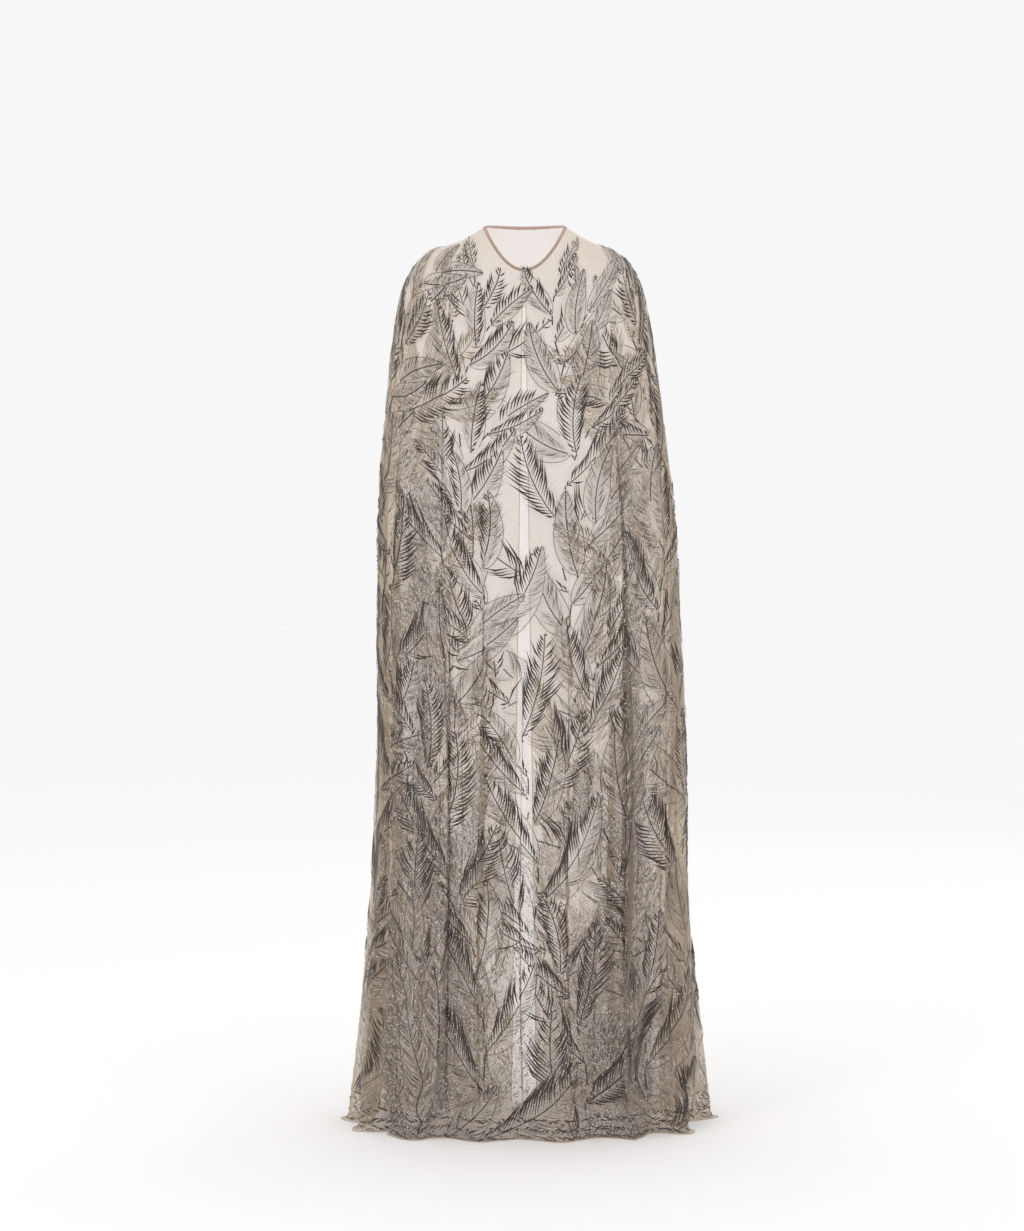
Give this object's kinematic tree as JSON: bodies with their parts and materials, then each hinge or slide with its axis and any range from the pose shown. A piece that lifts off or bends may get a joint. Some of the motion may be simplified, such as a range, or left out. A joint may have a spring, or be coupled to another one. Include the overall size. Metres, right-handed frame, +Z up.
{
  "type": "evening cloak",
  "caption": "Floor-length sheer evening cloak of embroidered tulle, hollow, bound at the neck, open down the front, falling in soft flutes to a hem that breaks on the floor.",
  "frame": {"origin": "middle of the neck opening at the height of the nape, where the wearer's shoulders hold the cloak", "axes": "+Z up, -Y towards the side that lies on the wearer's back, which the picture shows, +Y towards the open front, +X towards the wearer's right, which is the picture's right"},
  "size_m": [0.6718, 0.3681, 1.5775],
  "materials": {
    "tulle": "sheer nude silk tulle with dark taupe thread embroidery",
    "binding": "dusty pink-brown silk bias strip",
    "hook_wire": "dull wire"
  },
  "bodies": {
    "root": {"back_panel": "tulle", "front_panel_left": "tulle", "front_panel_right": "tulle", "neck_binding": "binding", "neck_hook": "hook_wire", "neck_eye": "hook_wire"}
  },
  "joints": []
}
